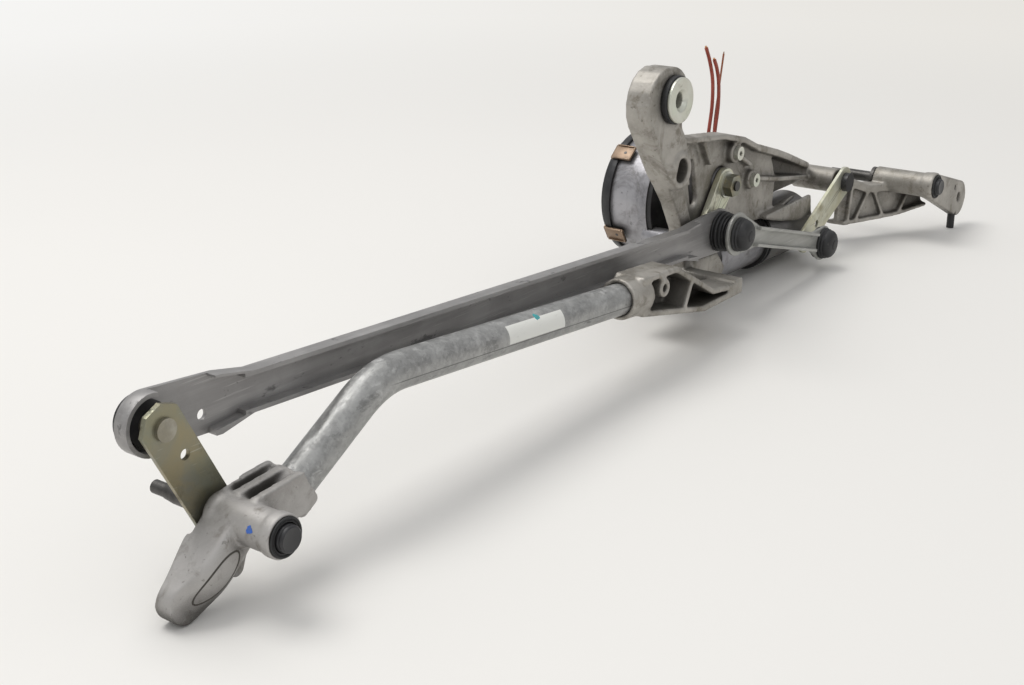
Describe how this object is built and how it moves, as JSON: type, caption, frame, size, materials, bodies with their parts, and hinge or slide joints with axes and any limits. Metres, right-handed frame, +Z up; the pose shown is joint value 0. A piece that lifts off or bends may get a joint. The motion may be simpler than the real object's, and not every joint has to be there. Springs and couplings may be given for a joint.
{
  "type": "wiper linkage",
  "caption": "Windscreen wiper linkage: cast bracket and steel tube with motor, crank, ball-jointed rods, levers, wiper shafts, a rubber mount and cut wires.",
  "frame": {"origin": "middle of the bounding box on the plane the linkage lies on", "axes": "+X along the frame from the left wiper shaft to the end lug, +Y along the wiper shafts towards their free ends, +Z up as it lies"},
  "size_m": [0.965, 0.1608, 0.2045],
  "materials": {
    "cast_alloy": "die-cast aluminium, dull and stained",
    "gear_alloy": "die-cast aluminium, cleaner and brighter",
    "galvanised_tube": "galvanised steel with a spangle",
    "rod_steel": "zinc-plated pressed steel, dulled and scuffed",
    "short_rod_steel": "zinc-plated pressed steel, lighter",
    "bronze": "sintered bronze, oiled",
    "black_rubber": "moulded black rubber",
    "pale_zinc": "pale greenish zinc plating",
    "black_plastic": "moulded black plastic, satin",
    "copper_clip": "copper-coloured spring steel",
    "yoke_steel": "grey coated deep-drawn steel",
    "magnet": "sintered ferrite",
    "winding": "copper windings on a laminated core",
    "dark_steel": "dark oiled steel",
    "gear_plastic": "cream engineering plastic",
    "yellow_zinc": "yellow passivated zinc plating, patchy",
    "ball_steel": "ground steel",
    "red_wire": "red-brown wire covering",
    "brown_wire": "brown wire covering"
  },
  "bodies": {
    "frame": {"main_bracket": "cast_alloy", "frame_tube": "galvanised_tube", "left_housing": "cast_alloy", "left_bush": "bronze", "right_bush": "bronze", "idler_bush": "bronze", "left_seal": "black_rubber", "idler_seal": "black_rubber", "mount_grommet": "black_rubber", "mount_sleeve": "pale_zinc", "gear_housing": "gear_alloy", "gear_cover": "black_plastic", "upper_clip": "copper_clip", "lower_clip": "copper_clip", "plug_shell": "black_plastic", "motor_yoke": "yoke_steel", "yoke_band": "black_rubber", "yoke_magnets": "magnet", "wire_grommet": "black_rubber", "upper_screw": "pale_zinc", "right_screw": "pale_zinc", "lower_screw": "pale_zinc", "boss_screw": "pale_zinc", "wire_one": "red_wire", "wire_two": "red_wire", "wire_thin": "brown_wire", "bracket_ear": "cast_alloy", "bracket_foot": "cast_alloy", "bracket_arm": "cast_alloy", "bracket_truss": "cast_alloy", "lug_buffer": "black_rubber", "gear_gasket": "black_rubber"},
    "armature": {"armature": "winding"},
    "crank": {"output_shaft": "dark_steel", "worm_wheel": "gear_plastic", "crank_arm": "yellow_zinc", "crank_washer": "pale_zinc", "crank_nut": "yellow_zinc", "crank_stud": "ball_steel"},
    "left_lever": {"left_shaft": "dark_steel", "left_lever": "yellow_zinc", "left_stud": "ball_steel", "left_cap": "black_plastic"},
    "right_lever": {"right_shaft": "dark_steel", "right_lever": "yellow_zinc", "right_stud": "ball_steel", "right_cap": "black_plastic"},
    "idler": {"idler_shaft": "dark_steel", "idler_cap": "black_plastic", "idler_clip": "dark_steel"},
    "long_rod": {"long_rod": "rod_steel", "long_left_socket": "black_plastic", "long_crank_socket": "black_plastic", "long_boot": "black_rubber"},
    "short_rod": {"short_rod": "short_rod_steel", "short_crank_socket": "black_plastic", "short_lever_socket": "black_plastic"}
  },
  "joints": [
    {"name": "crank_turn", "type": "hinge", "parent": "frame", "child": "crank", "pos_m": [0.1295, 0.0004, 0.097], "axis": [0, -1, 0], "range_deg": [-40, 6]},
    {"name": "left_swing", "type": "hinge", "parent": "frame", "child": "left_lever", "pos_m": [-0.4365, -0.0246, 0.044], "axis": [0, -1, 0], "range_deg": [-3.4, 19.4]},
    {"name": "long_rod_turn", "type": "hinge", "parent": "left_lever", "child": "long_rod", "pos_m": [-0.46374, -0.0116, 0.09746], "axis": [0, -1, 0], "range_deg": [-16, 2.9]},
    {"name": "right_swing", "type": "hinge", "parent": "frame", "child": "right_lever", "pos_m": [0.3335, -0.0106, 0.061], "axis": [0, -1, 0], "range_deg": [-30.4, 5.2]},
    {"name": "short_rod_turn", "type": "hinge", "parent": "right_lever", "child": "short_rod", "pos_m": [0.26077, -0.0286, 0.02314], "axis": [0, -1, 0], "range_deg": [-6.2, 36.8]},
    {"name": "idler_turn", "type": "hinge", "parent": "frame", "child": "idler", "pos_m": [0.3935, -0.0246, 0.054], "axis": [0, -1, 0], "continuous": true},
    {"name": "armature_turn", "type": "hinge", "parent": "frame", "child": "armature", "pos_m": [0.1895, 0.0254, 0.03], "axis": [0.9998, 0, -0.0175], "continuous": true}
  ],
  "couplings": [
    {"joint": "left_swing", "follows": "crank_turn", "ratio": -0.4695},
    {"joint": "long_rod_turn", "follows": "crank_turn", "ratio": 0.3838},
    {"joint": "right_swing", "follows": "crank_turn", "ratio": 0.74},
    {"joint": "short_rod_turn", "follows": "crank_turn", "ratio": -0.8972}
  ]
}
